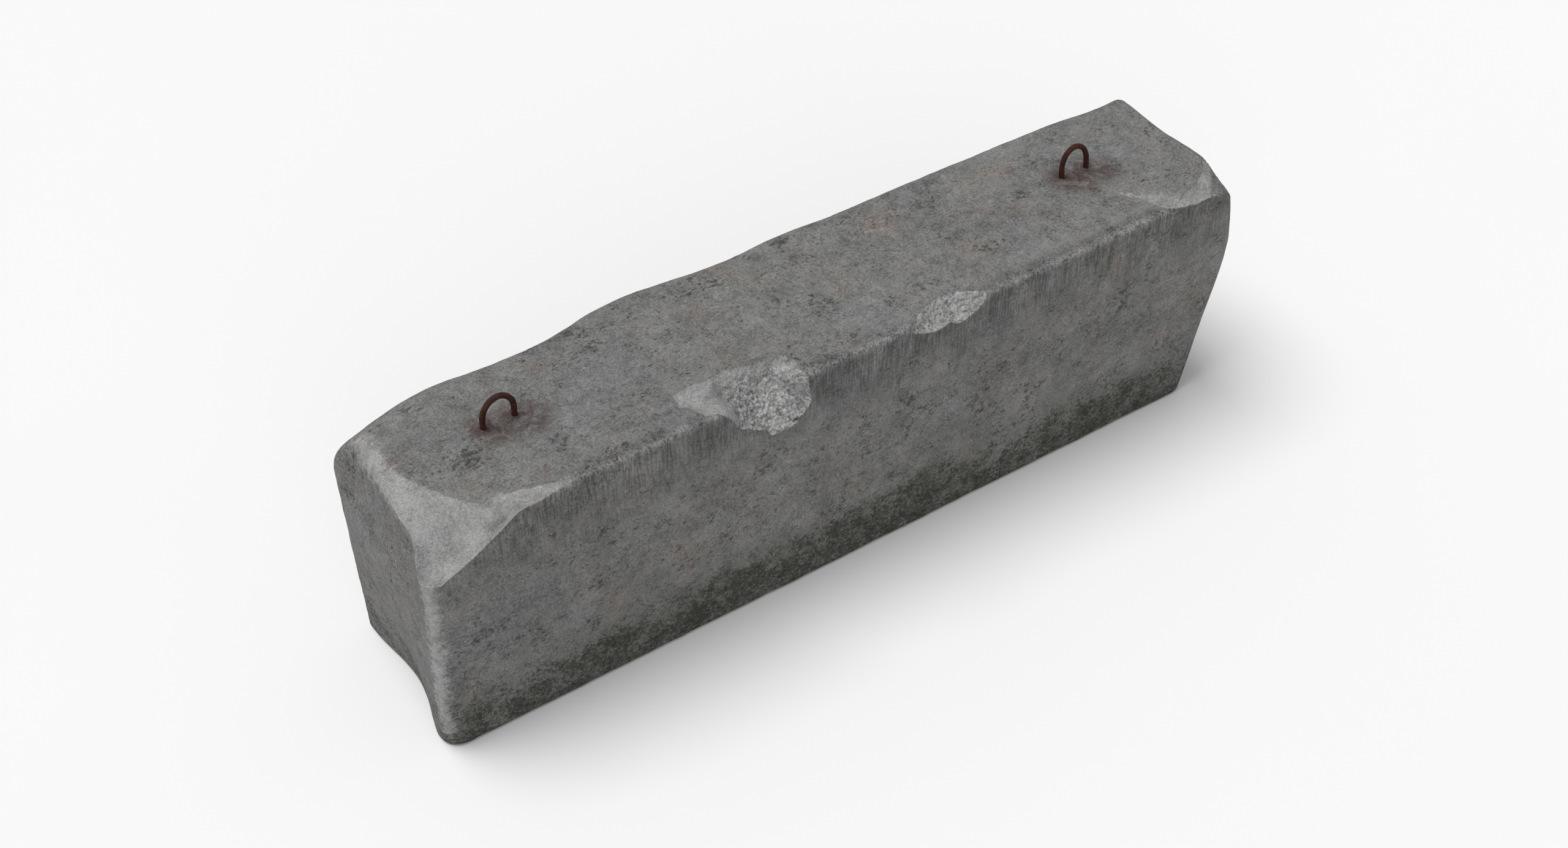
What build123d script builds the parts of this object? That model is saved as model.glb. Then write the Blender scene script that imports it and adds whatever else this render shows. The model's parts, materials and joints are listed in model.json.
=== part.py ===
from build123d import *
import os
from math import acos, degrees, radians, sqrt, tan

# Precast concrete vehicle stop block: one casting round a wire-tied steel cage, with two plain
# round lifting loops that stand out of its top face.
# Millimetres. +X runs along the block, -Y is the long face with the broken edge, +Z is up.
# The origin is the middle of the base.

os.makedirs("parts", exist_ok=True)

# ---- concrete: overall ----
LENGTH = 1884.0
WIDTH = 391.0                   # over the bulge of the rear face
HEIGHT = 565.0
FRONT_BATTER = 8.0              # the front leans in by this much over the full height
RIGHT_END_LEAN = 72.0           # the right end is undercut by this much at the base
RIGHT_END_KNEE_Z = 350.0        # height of the right end's longest point
RIGHT_END_TOP_IN = 14.0         # the right end leans in again by this much at the top
RIGHT_END_SKEW = 21.0           # the right end is this much shorter at the rear
LEFT_END_HOLLOW = 20.0          # depth of the hollow worn into the left end
CORNER_R = 22.0                 # upright corners
TOP_EDGE_R = 12.0

LEFT_X = -LENGTH / 2
RIGHT_X = LENGTH / 2
FRONT_Y = -WIDTH / 2
REAR_Y = WIDTH / 2

# The rear face bulges and sags along X: how far it stands in from REAR_Y, right to left
REAR_WAVE = [(793, 22), (493, 14), (193, 17), (-157, 13), (-337, 0), (-587, 32), (-747, 18)]
REAR_RIGHT_IN = 30.0
REAR_LEFT_IN = 23.0

# ---- concrete: broken corners, as flat facets (a point on the facet, its outward direction) ----
CORNER_BREAKS = {
    "left front": ((-937, FRONT_Y, 470), (-0.411, -0.247, 0.878)),
    "left ridge": ((-647, FRONT_Y, 562), (-0.161, -0.261, 0.952)),
    "left rear": ((-752, 178, HEIGHT), (-0.331, 0.472, 0.817)),
    "right front": ((739, -189, HEIGHT), (0.183, -0.423, 0.888)),
}

# ---- concrete: two spalls in the front top edge ----
LARGE_SPALL_CENTRE = (-215, -141, 508)
LARGE_SPALL_OUTWARD = (0, -0.729, 0.684)
LARGE_SPALL_FLOOR = [(-120, 15), (-55, 48), (62, 50), (82, 5), (55, -50), (-25, -38)]
LARGE_SPALL_WALL_TAPER = -38.0
LARGE_SPALL_REACH = 90.0
SMALL_SPALL_X = 198.0
SMALL_SPALL_R = 155.0
SMALL_SPALL_STANDOFF = 122.0    # from the edge out to the centre of the spherical break

# ---- reinforcement ----
BAR_D = 12.0
LINK_D = 8.0
WIRE_D = 1.6
GAP = 0.6                       # between bars that lie against each other
BAR_END_CHAMFER = 1.0
CAGE_Y = -8.0                   # the cage stands midway between the front and the flat rear face
CAGE_HALF_WIDTH = 137.0         # to the outside of the links
CAGE_BOTTOM = 45.0
CAGE_TOP = 490.0
LINK_BEND_R = 20.0              # centre line
LINK_TAIL = 50.0
LINK_HOOK_ANGLE = 135.0
LINK_COUNT = 9
LINK_PITCH = 200.0
BAR_LEFT_END = -885.0
UPPER_BAR_RIGHT_END = 875.0
BOTTOM_BAR_RIGHT_END = 815.0    # shorter, to keep its cover in the undercut end

# ---- tie wires, round each crossing of a long bar and a link ----
TIE_CLEARANCE = 1.1
TIE_NECK_R = 3.0
TIE_TAIL = 8.0
TIE_TAIL_GAP = 0.4

# ---- lifting loops ----
LOOP_XS = {"left": -662.0, "right": 669.0}
LOOP_Y = 18.0
LOOP_HALF_SPAN = 32.0           # centre line of a leg from the middle of the loop
LOOP_RISE = 67.0                # centre line of the crown above the top face
LOOP_CROWN_H = 46.0             # the crown is half an ellipse of this height
LOOP_HOOK_R = 30.0
LOOP_HOOK_Z = 265.0             # centre of the hooks' bends
LOOP_TAIL = 50.0
ANCHOR_BAR_LENGTH = 230.0

# ---- spacers, which hold the cage off the mould ----
SPACER_SKIN = 2.0               # concrete skin outside a spacer
BLOCK_BASE = 50.0
BLOCK_TAPER = 8.0
BLOCK_CORNER_R = 5.0
BLOCK_PITCH_X = 600.0           # a multiple of the link pitch: a block stands under a link
BLOCK_PITCH_Y = 160.0
WHEEL_XS = (-500.0, -100.0, 100.0, 500.0)
WHEEL_FACE_Y = {"front": -190.0, "rear": 163.0}     # concrete face that the wheel stops short of
WHEEL_WIDTH = 10.0
WHEEL_RIM = 4.0
WHEEL_HUB_R = 12.0
WHEEL_SPOKES = 7
WHEEL_SPOKE_WIDTH = 3.5
WHEEL_MOUTH = 10.0              # slot through which the wheel snaps on to its bar

# ---- values that follow from those above ----
BAR_R = BAR_D / 2
LINK_R = LINK_D / 2
WIRE_R = WIRE_D / 2
DIAGONAL = 1 / sqrt(2)
FRONT_LINK_Y = CAGE_Y - CAGE_HALF_WIDTH + LINK_R
REAR_LINK_Y = CAGE_Y + CAGE_HALF_WIDTH - LINK_R
LINK_LOW_Z = CAGE_BOTTOM + LINK_R
LINK_HIGH_Z = CAGE_TOP - LINK_R
LINK_SHIFT = (LINK_D + 2 * GAP) / 2                     # a link's ends pass side by side
LINK_XS = [LINK_PITCH * (i - (LINK_COUNT - 1) / 2) for i in range(LINK_COUNT)]
BAR_TO_LINK = BAR_R + LINK_R + GAP                      # centre line to centre line
CORNER_BAR_IN = LINK_BEND_R - (LINK_BEND_R - BAR_TO_LINK) * DIAGONAL
TOP_BAR_Z = LINK_HIGH_Z - CORNER_BAR_IN
SIDE_BAR_Z = (LINK_LOW_Z + LINK_HIGH_Z) / 2
BOTTOM_BAR_Z = LINK_LOW_Z + CORNER_BAR_IN
FRONT_CORNER_Y = FRONT_LINK_Y + CORNER_BAR_IN
REAR_CORNER_Y = REAR_LINK_Y - CORNER_BAR_IN
FRONT_SIDE_Y = FRONT_LINK_Y + BAR_TO_LINK
REAR_SIDE_Y = REAR_LINK_Y - BAR_TO_LINK

# Long bars: y, z, right end, and the direction from the bar out to the link that holds it
LONG_BARS = {
    "top_bar_front": (FRONT_CORNER_Y, TOP_BAR_Z, UPPER_BAR_RIGHT_END, (0, -DIAGONAL, DIAGONAL)),
    "top_bar_rear": (REAR_CORNER_Y, TOP_BAR_Z, UPPER_BAR_RIGHT_END, (0, DIAGONAL, DIAGONAL)),
    "side_bar_front": (FRONT_SIDE_Y, SIDE_BAR_Z, UPPER_BAR_RIGHT_END, (0, -1, 0)),
    "side_bar_rear": (REAR_SIDE_Y, SIDE_BAR_Z, UPPER_BAR_RIGHT_END, (0, 1, 0)),
    "bottom_bar_front": (FRONT_CORNER_Y, BOTTOM_BAR_Z, BOTTOM_BAR_RIGHT_END, (0, -DIAGONAL, -DIAGONAL)),
    "bottom_bar_rear": (REAR_CORNER_Y, BOTTOM_BAR_Z, BOTTOM_BAR_RIGHT_END, (0, DIAGONAL, -DIAGONAL)),
}
HOOKED_BAR = "top_bar_rear"     # lies in the links' end hooks, so it needs no tie wires

embedded = []                   # the finished pieces that the concrete is cast round


def keep(part, name):
    """Label a finished embedded piece, write it, and remember it for the casting."""
    part.label = name
    export_step(part, f"parts/{name}.step")
    embedded.append(part)


def make_long_bar(name):
    """A straight reinforcing bar along the block."""
    y, z, right_end, _ = LONG_BARS[name]
    with BuildPart() as bar:
        with BuildSketch(Plane.YZ.offset(BAR_LEFT_END)):
            with Locations((y, z)):
                Circle(BAR_R)
        extrude(amount=right_end - BAR_LEFT_END)
        chamfer(bar.edges().filter_by(GeomType.CIRCLE), BAR_END_CHAMFER)
    keep(bar.part, name)


def link_corners(x):
    """The link's centre line from tail to tail, as the corners that its bends round off."""
    bend_y = REAR_LINK_Y - LINK_BEND_R
    bend_z = LINK_HIGH_Z - LINK_BEND_R
    beyond = LINK_BEND_R * tan(radians(LINK_HOOK_ANGLE / 2))
    side = LINK_BEND_R * DIAGONAL
    tail = LINK_TAIL * DIAGONAL
    start_x = x - LINK_SHIFT
    end_x = x + LINK_SHIFT
    return [
        (start_x, bend_y + side - tail, bend_z - side - tail),
        (start_x, bend_y + beyond, LINK_HIGH_Z),
        (start_x, FRONT_LINK_Y, LINK_HIGH_Z),
        (start_x, FRONT_LINK_Y, LINK_LOW_Z),
        (end_x, REAR_LINK_Y, LINK_LOW_Z),
        (end_x, REAR_LINK_Y, bend_z + beyond),
        (end_x, bend_y - side - tail, bend_z + side - tail),
    ]


def make_stirrup(number, x):
    """A closed link round the long bars, both ends hooked round the rear top bar."""
    with BuildPart() as stirrup:
        with BuildLine() as path:
            FilletPolyline(*link_corners(x), radius=LINK_BEND_R)
        with BuildSketch(Plane(origin=path.line @ 0, z_dir=path.line % 0)):
            Circle(LINK_R)
        sweep(path=path.line)
    keep(stirrup.part, f"stirrup_{number}")


def make_tie_wires(bar_name):
    """A ring of soft wire round each crossing of a long bar and a link, its tails turned in."""
    y, z, _, outward = LONG_BARS[bar_name]
    out = Vector(*outward)
    across = (Vector(1, 0, 0) + Vector(1, 0, 0).cross(out)).normalized()
    ring_r = BAR_TO_LINK + WIRE_R + TIE_CLEARANCE
    ring_out = (BAR_TO_LINK + LINK_R - BAR_R) / 2       # ring centre from the bar's centre
    tail_x = WIRE_R + TIE_TAIL_GAP / 2
    neck_x = tail_x + TIE_NECK_R
    neck_y = -sqrt((ring_r + TIE_NECK_R) ** 2 - neck_x ** 2)
    turn = degrees(acos(neck_x / (ring_r + TIE_NECK_R)))
    shift = LINK_SHIFT if y > CAGE_Y else -LINK_SHIFT
    with BuildPart() as ties:
        for x in LINK_XS:
            middle = Vector(x + shift, y, z) + out * ring_out
            with BuildLine(Plane(origin=middle, x_dir=across, z_dir=across.cross(out))) as path:
                tail = Line((tail_x, neck_y - TIE_TAIL), (tail_x, neck_y))
                CenterArc((neck_x, neck_y), TIE_NECK_R, 180, -turn)
                CenterArc((0, 0), ring_r, -turn, 180 + 2 * turn)
                CenterArc((-neck_x, neck_y), TIE_NECK_R, turn, -turn)
                Line((-tail_x, neck_y), (-tail_x, neck_y - TIE_TAIL))
            with BuildSketch(Plane(origin=tail @ 0, z_dir=tail % 0)):
                Circle(WIRE_R)
            sweep(path=path.line)
    keep(ties.part, bar_name.replace("bar", "tie_wires"))


def make_lifting_loop(side, x):
    """A plain round bar bent over the top face, each leg ending in an upturned hook."""
    hook_x = LOOP_HALF_SPAN + LOOP_HOOK_R
    tail_x = hook_x + LOOP_HOOK_R
    tail_z = LOOP_HOOK_Z + LOOP_TAIL
    crown_z = HEIGHT + LOOP_RISE - LOOP_CROWN_H
    with BuildPart() as loop:
        with BuildLine(Plane.XZ.offset(-LOOP_Y)) as path:
            tail = Line((x - tail_x, tail_z), (x - tail_x, LOOP_HOOK_Z))
            CenterArc((x - hook_x, LOOP_HOOK_Z), LOOP_HOOK_R, 180, 180)
            Line((x - LOOP_HALF_SPAN, LOOP_HOOK_Z), (x - LOOP_HALF_SPAN, crown_z))
            EllipticalCenterArc((x, crown_z), LOOP_HALF_SPAN, LOOP_CROWN_H, 180, arc_size=-180)
            Line((x + LOOP_HALF_SPAN, crown_z), (x + LOOP_HALF_SPAN, LOOP_HOOK_Z))
            CenterArc((x + hook_x, LOOP_HOOK_Z), LOOP_HOOK_R, 180, 180)
            Line((x + tail_x, LOOP_HOOK_Z), (x + tail_x, tail_z))
        with BuildSketch(Plane(origin=tail @ 0, z_dir=tail % 0)):
            Circle(BAR_R)
        sweep(path=path.line)
    keep(loop.part, f"lifting_loop_{side}")


def make_anchor_bars(side, x):
    """Two short cross bars, one lying in each hook of a lifting loop."""
    hook_x = LOOP_HALF_SPAN + LOOP_HOOK_R
    bar_z = LOOP_HOOK_Z - (LOOP_HOOK_R - BAR_D - GAP)
    with BuildPart() as bars:
        with BuildSketch(Plane.XZ.offset(-CAGE_Y)):
            with Locations((x - hook_x, bar_z), (x + hook_x, bar_z)):
                Circle(BAR_R)
        extrude(amount=ANCHOR_BAR_LENGTH / 2, both=True)
        chamfer(bars.edges().filter_by(GeomType.CIRCLE), BAR_END_CHAMFER)
    keep(bars.part, f"loop_anchor_bars_{side}")


def make_bottom_spacer_blocks():
    """Mortar blocks that carry the links while the concrete is cast."""
    with BuildPart() as blocks:
        with BuildSketch(Plane.XY.offset(SPACER_SKIN)):
            with Locations((0, CAGE_Y)):
                with GridLocations(BLOCK_PITCH_X, BLOCK_PITCH_Y, 3, 2):
                    RectangleRounded(BLOCK_BASE, BLOCK_BASE, BLOCK_CORNER_R)
        extrude(amount=CAGE_BOTTOM - GAP - SPACER_SKIN, taper=BLOCK_TAPER)
    keep(blocks.part, "bottom_spacer_blocks")


def make_side_spacer_wheels(side, bar_y):
    """Plastic wheels snapped on to a side bar, which hold the cage off the mould's wall."""
    wheel_r = abs(WHEEL_FACE_Y[side] - bar_y) - SPACER_SKIN
    hub_r = BAR_R + GAP
    spoke_length = wheel_r - WHEEL_RIM / 2 - (hub_r + WHEEL_HUB_R) / 2
    spoke_middle = wheel_r - WHEEL_RIM / 2 - spoke_length / 2
    with BuildPart() as wheels:
        for x in WHEEL_XS:
            centre = Plane(origin=(x, bar_y, SIDE_BAR_Z), x_dir=(0, 1, 0), z_dir=(1, 0, 0))
            with BuildSketch(centre.offset(-WHEEL_WIDTH / 2)):
                Circle(wheel_r)
                Circle(wheel_r - WHEEL_RIM, mode=Mode.SUBTRACT)
                Circle(WHEEL_HUB_R)
                with PolarLocations(spoke_middle, WHEEL_SPOKES, start_angle=90):
                    Rectangle(spoke_length, WHEEL_SPOKE_WIDTH)
                Circle(hub_r, mode=Mode.SUBTRACT)
                with Locations((0, -wheel_r / 2)):
                    Rectangle(WHEEL_MOUTH, wheel_r, mode=Mode.SUBTRACT)
            extrude(amount=WHEEL_WIDTH)
    keep(wheels.part, f"side_spacer_wheels_{side}")


def make_concrete_body():
    """The casting: its outline in three views, its broken corners and edge, and its cage's bed."""
    rear_right = (RIGHT_X - RIGHT_END_SKEW, REAR_Y - REAR_RIGHT_IN)
    rear_left = (LEFT_X, REAR_Y - REAR_LEFT_IN)
    front_left = (LEFT_X, FRONT_Y)
    front_right = (RIGHT_X, FRONT_Y)
    rear_points = [rear_right] + [(x, REAR_Y - inset) for x, inset in REAR_WAVE] + [rear_left]
    with BuildPart() as concrete_body:
        # Plan: straight front, skewed right end, wavy rear, hollowed left end
        with BuildSketch() as plan:
            with BuildLine():
                Line(front_left, front_right)
                Line(front_right, rear_right)
                Spline(*rear_points)
                ThreePointArc(rear_left, (LEFT_X + LEFT_END_HOLLOW, 0), front_left)
            make_face()
            fillet(plan.vertices(), CORNER_R)
        extrude(amount=HEIGHT)
        # End view: battered front
        with BuildSketch(Plane.YZ):
            Polygon(
                (FRONT_Y, 0),
                (FRONT_Y + FRONT_BATTER, HEIGHT),
                (WIDTH, HEIGHT),
                (WIDTH, 0),
                align=None,
            )
        extrude(amount=LENGTH, both=True, mode=Mode.INTERSECT)
        # Side view: right end undercut below its knee, leaning in above it
        with BuildSketch(Plane.XZ):
            Polygon(
                (-LENGTH, 0),
                (RIGHT_X - RIGHT_END_LEAN, 0),
                (RIGHT_X, RIGHT_END_KNEE_Z),
                (RIGHT_X - RIGHT_END_TOP_IN, HEIGHT),
                (-LENGTH, HEIGHT),
                align=None,
            )
        extrude(amount=WIDTH, both=True, mode=Mode.INTERSECT)
        fillet(concrete_body.faces().sort_by(Axis.Z)[-1].edges(), TOP_EDGE_R)
        for point, outward in CORNER_BREAKS.values():
            split(bisect_by=Plane(origin=point, z_dir=outward), keep=Keep.BOTTOM)
        # Large spall: a flat broken floor with sloping walls
        with BuildSketch(Plane(LARGE_SPALL_CENTRE, x_dir=(1, 0, 0), z_dir=LARGE_SPALL_OUTWARD)):
            Polygon(*LARGE_SPALL_FLOOR, align=None)
        extrude(amount=LARGE_SPALL_REACH, taper=LARGE_SPALL_WALL_TAPER, mode=Mode.SUBTRACT)
        # Small spall: a shallow dish
        standoff = SMALL_SPALL_STANDOFF * DIAGONAL
        edge_y = FRONT_Y + FRONT_BATTER
        with Locations((SMALL_SPALL_X, edge_y - standoff, HEIGHT + standoff)):
            Sphere(SMALL_SPALL_R, mode=Mode.SUBTRACT)
        # The bed that each cast-in piece leaves in the concrete
        add(embedded, mode=Mode.SUBTRACT)
    concrete_body.part.label = "concrete_body"
    export_step(concrete_body.part, "parts/concrete_body.step")


for bar_name in LONG_BARS:
    make_long_bar(bar_name)
for link_number, link_x in enumerate(LINK_XS, start=1):
    make_stirrup(link_number, link_x)
for bar_name in LONG_BARS:
    if bar_name != HOOKED_BAR:
        make_tie_wires(bar_name)
for loop_side, loop_x in LOOP_XS.items():
    make_lifting_loop(loop_side, loop_x)
    make_anchor_bars(loop_side, loop_x)
make_bottom_spacer_blocks()
make_side_spacer_wheels("front", FRONT_SIDE_Y)
make_side_spacer_wheels("rear", REAR_SIDE_Y)
make_concrete_body()
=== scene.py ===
import json
import math

import bmesh
import bpy
import numpy as np
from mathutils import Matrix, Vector, noise


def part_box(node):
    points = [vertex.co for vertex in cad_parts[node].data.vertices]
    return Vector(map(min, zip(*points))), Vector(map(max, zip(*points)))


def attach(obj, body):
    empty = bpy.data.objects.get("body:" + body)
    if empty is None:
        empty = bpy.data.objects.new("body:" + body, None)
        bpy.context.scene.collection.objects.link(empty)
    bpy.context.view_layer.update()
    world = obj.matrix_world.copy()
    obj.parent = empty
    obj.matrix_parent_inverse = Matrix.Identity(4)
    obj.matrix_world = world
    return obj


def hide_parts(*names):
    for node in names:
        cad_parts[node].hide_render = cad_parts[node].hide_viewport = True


# Weathered precast concrete vehicle stop block. Metres, in the CAD's frame.
# The casting is rebuilt as one fine mesh: a worn block, then its breaks, then its surface relief.
# The lifting loops are rebuilt as rusted bars. All else that is cast in stays the CAD's own mesh.

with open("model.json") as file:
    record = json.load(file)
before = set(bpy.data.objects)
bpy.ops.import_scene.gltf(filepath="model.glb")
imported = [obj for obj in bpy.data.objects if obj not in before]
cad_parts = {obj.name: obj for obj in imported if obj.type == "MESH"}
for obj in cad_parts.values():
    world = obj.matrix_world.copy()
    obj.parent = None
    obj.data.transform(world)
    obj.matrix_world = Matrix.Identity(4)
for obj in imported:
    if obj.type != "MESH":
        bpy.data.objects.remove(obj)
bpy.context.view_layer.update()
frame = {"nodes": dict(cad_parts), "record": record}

BODY_LOW, BODY_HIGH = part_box("concrete_body")
LEFT, FRONT = BODY_LOW.x, BODY_LOW.y
RIGHT, REAR = BODY_HIGH.x, BODY_HIGH.y
TOP = BODY_HIGH.z
LOOPS = {side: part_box(f"lifting_loop_{side}") for side in ("left", "right")}

# ---- the worn block ----
BATTER = 0.008                      # the front leans in by this much at the top
REAR_OUT = 0.005                    # the rear face stands out past the CAD's by this much
REAR_BULGE_X, REAR_BULGE = 0.035, 0.009     # where the rear face bulges, and by how much
REAR_DIP_X, REAR_DIP = -0.475, 0.008        # where the rear face dips, and by how much
KNEE_OUT = 0.016                    # how far the right end stands out past the CAD's at its longest
KNEE_Z = 0.370                      # height of the right end's longest point
END_LEAN = 0.078                    # the right end's undercut at the base
END_TOP_IN = 0.027                  # the right end comes back by this much from the knee to the top
END_STEP = 0.012                    # the right end is shorter by this much in its rear half
REAR_RIGHT_IN = 0.011               # the rear right corner is worn in by this much
LEFT_HOLLOW = 0.024                 # how far the left end is worn in, half way across its base
LEFT_TOP_IN = 0.028                 # how far the left end is worn in along its top
LEFT_IN = 0.001                     # how far the whole left end is worn in
ARRIS_LEAN = 0.018                  # the left end's front arris leans in by this much from foot to top
ARRIS_FOOT_OUT = 0.007              # and its foot stands out by this much
REAR_CORNER = (-0.762, 0.190, TOP)          # a point of the worn left rear corner
REAR_CORNER_OUT = (-0.331, 0.472, 0.817)    # which way that corner faces
RIDGE_Y = FRONT + BATTER            # the front's top edge
GRID = 0.0085                       # edge length of the plain surface


# ======================================================================================
# numbers on arrays of points
# ======================================================================================

def soft_max(a, b, radius):
    """The larger of a and b, rounded where they meet."""
    near = np.maximum(radius - np.abs(a - b), 0) / radius
    return np.maximum(a, b) + near * near * radius / 4


def meeting(a, b, width):
    """1 on the edge where two faces meet, falling to 0 at width from it."""
    return np.clip(1 + np.minimum(a, b) / width, 0, 1)


def bump(value, centre, half_width):
    """A smooth hill of height 1."""
    return np.exp(-(((value - centre) / half_width) ** 2))


def smooth_step(value, low, high):
    t = np.clip((value - low) / (high - low), 0, 1)
    return t * t * (3 - 2 * t)


def fractal(points, size, octaves):
    """Fractal noise at each point, with features about size across, from about -1 to 1."""
    scaled = (points / size).tolist()
    return np.array([noise.fractal(p, 0.9, 2.0, octaves, noise_basis="PERLIN_ORIGINAL") for p in scaled])


def cells(points, size, stretch=(1, 1, 1)):
    """Distance to the nearest of a cloud of scattered points, in cell sizes: 0 on a point."""
    scaled = (points / size / np.array(stretch)).tolist()
    return np.array([noise.voronoi(p)[0][0] for p in scaled])


# ======================================================================================
# the shape of the casting
# ======================================================================================

def rear_outline():
    """The rear edge of the CAD casting's base, as rising x and the y there."""
    mesh = frame["nodes"]["concrete_body"].data
    points = np.array([v.co for v in mesh.vertices])
    base = points[(points[:, 2] < 1e-4) & (points[:, 1] > 0.5 * REAR)]
    inner = base[np.abs(base[:, 0]) < RIGHT - 0.08]
    inner = inner[np.argsort(inner[:, 0])]
    return inner[:, 0], inner[:, 1]


REAR_X, REAR_Y = rear_outline()


def block_limits(p):
    """Where the worn block's front, rear, left and right faces are, seen from each point."""
    x, y, z = p.T
    front = FRONT + BATTER * z / TOP
    rear = np.interp(x, REAR_X, REAR_Y) + REAR_OUT - REAR_RIGHT_IN * smooth_step(x, 0.76, 0.89)
    rear = rear + REAR_BULGE * bump(x, REAR_BULGE_X, 0.09) - REAR_DIP * bump(x, REAR_DIP_X, 0.08)
    hollow = LEFT_HOLLOW * bump(y, 0.0, 0.11) * bump(z, 0, 0.19)
    across_top = smooth_step(y, -0.175, -0.095) * smooth_step(y, 0.185, 0.115)
    hollow = hollow + LEFT_TOP_IN * across_top * smooth_step(z, 0.33, 0.52)
    arris_lean = ARRIS_LEAN * smooth_step(z, 0.02, 0.42) - ARRIS_FOOT_OUT
    left = LEFT + LEFT_IN + hollow + arris_lean * smooth_step(y, -0.05, -0.16)
    lean_in = END_LEAN * (KNEE_Z - z) / KNEE_Z
    top_in = END_TOP_IN * (np.maximum(z - KNEE_Z, 0) / (TOP - KNEE_Z)) ** 1.5
    end_step = END_STEP * smooth_step(y, -0.085, 0.045)
    right = RIGHT + KNEE_OUT - soft_max(lean_in, top_in, 0.012) - end_step
    return front, rear, left, right


def stretch_to_block(p):
    """The box's points, scaled so that its sides lie on the block's."""
    front, rear, left, right = block_limits(p)
    x = left + (p[:, 0] - LEFT) / (RIGHT - LEFT) * (right - left)
    y = front + (p[:, 1] - FRONT) / (REAR - FRONT) * (rear - front)
    return np.stack([x, y, p[:, 2]], 1)


def block_faces(p):
    """How far each point is outside each face of the worn block."""
    x, y, z = p.T
    front, rear, left, right = block_limits(p)
    return front - y, y - rear, left - x, x - right, z - TOP, -z


def block_field(p):
    """Signed distance, roughly, to the worn block: negative inside."""
    x, y, z = p.T
    front, rear, left, right, top, base = block_faces(p)
    sides = np.maximum(front, rear)
    foot = 1 - smooth_step(z, 0.0, 0.10)
    front_half = smooth_step(y, 0.05, -0.05)
    left_radius = 0.024 + 0.030 * foot * front_half
    right_radius = 0.016 + 0.016 * smooth_step(y, 0.05, -0.05)
    sides = soft_max(sides, left, left_radius)
    sides = soft_max(sides, right, right_radius)
    toward_rear = smooth_step(y, -0.05, 0.10)
    top_radius = 0.012 + 0.012 * toward_rear * smooth_step(x, 0.90, 0.80) + 0.03 * bump(x, LEFT, 0.10)
    whole = soft_max(sides, top, top_radius)
    whole = soft_max(whole, base, 0.010)
    corner = (p - np.array(REAR_CORNER)) @ np.array(REAR_CORNER_OUT)
    return soft_max(whole, corner, 0.040)


def settle(p, field, steps=26, reach=0.008):
    """Move points along the field's slope until they lie on its surface."""
    h = 0.0005
    for _ in range(steps):
        value = field(p)
        slope = np.stack([field(p + h * axis) - field(p - h * axis) for axis in np.eye(3)], 1) / (2 * h)
        slope /= np.linalg.norm(slope, axis=1, keepdims=True) + 1e-9
        p = p - np.clip(value, -reach, reach)[:, None] * slope
    return p


RIM_TOOTH = 0.022                   # size of the teeth along a break's rim


def unfolded(p):
    """Places near the front's top edge as if the top were folded down flat: x, and s behind the edge."""
    return np.stack([p[:, 0], p[:, 1] - RIDGE_Y + p[:, 2] - TOP], 1)


def depth_inside(points, outline):
    """Distance from each 2D point to the closed outline: positive inside it, negative outside."""
    corners = np.array(outline)
    nearest = np.full(len(points), 9.0)
    inside = np.zeros(len(points), bool)
    for a, b in zip(corners, np.roll(corners, -1, axis=0)):
        along = np.clip((points - a) @ (b - a) / ((b - a) @ (b - a)), 0, 1)
        gap = points - a - along[:, None] * (b - a)
        nearest = np.minimum(nearest, np.hypot(*gap.T))
        crosses = (a[1] > points[:, 1]) != (b[1] > points[:, 1])
        x_there = a[0] + (points[:, 1] - a[1]) * (b[0] - a[0]) / (b[1] - a[1] + 1e-12)
        inside ^= crosses & (points[:, 0] < x_there)
    return np.where(inside, nearest, -nearest)


class Break:
    """A break in the concrete: points inside its outline go down along outward on to its floor.

    origin: a point of the floor's plane; outward, along: its normal and its u direction;
    outline: (x, s) places of the rim on the unfolded block;
    floor(u, v, p): height of the broken surface above the plane; wall(p): steepness at the rim;
    ragged: how far the rim strays from the outline.
    """

    def __init__(self, origin, outward, along, outline, floor, wall, ragged):
        self.origin = np.array(origin)
        self.outward = np.array(Vector(outward).normalized())
        along = Vector(along)
        self.u = np.array((along - along.project(Vector(outward))).normalized())
        self.v = np.cross(self.outward, self.u)
        self.outline = outline
        self.floor = floor
        self.wall = wall
        self.ragged = ragged

    def cut(self, p):
        """The moved points, and how deep the floor lay under each of them."""
        q = p - self.origin
        deep = q @ self.outward - self.floor(q @ self.u, q @ self.v, p)
        rim = depth_inside(unfolded(p), self.outline)
        rim = rim + self.ragged * fractal(p, RIM_TOOTH, 3)
        depth = np.minimum(deep, rim * self.wall(p))
        return p - np.maximum(depth, 0)[:, None] * self.outward, depth


def wobble(p, size, height):
    return height * fractal(p, size, 4)


# The floors of the breaks. All take the same three arguments, as Break says; some need only p.

def left_front_floor(u, v, p):
    """A nearly flat facet that turns down where it meets the front."""
    turned_down = 0.009 - 0.043 * smooth_step(p[:, 1], -0.115, -0.195)
    return turned_down + wobble(p, 0.11, 0.003) + wobble(p, 0.03, 0.0010)


def left_ridge_floor(u, v, p):
    return wobble(p, 0.05, 0.003) + wobble(p, 0.016, 0.0015)


def large_spall_floor(u, v, p):
    """Hollow towards the lower right, rising to a shallow tongue on the left."""
    rise_left = 0.55 * np.maximum(-0.055 - u, 0)
    hollow = -0.012 * bump(u, 0.03, 0.05) * bump(v, -0.02, 0.05)
    return rise_left + hollow + wobble(p, 0.07, 0.006)


def flake_floor(u, v, p):
    """The shallow scar of a flake that came off the top with the large spall."""
    return wobble(p, 0.05, 0.0016)


def small_spall_floor(u, v, p):
    return 0.5 * np.abs(u) ** 1.5 - 0.003 + wobble(p, 0.035, 0.004)


def bevel_floor(u, v, p):
    return wobble(p, 0.06, 0.003) + wobble(p, 0.02, 0.001)


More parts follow.
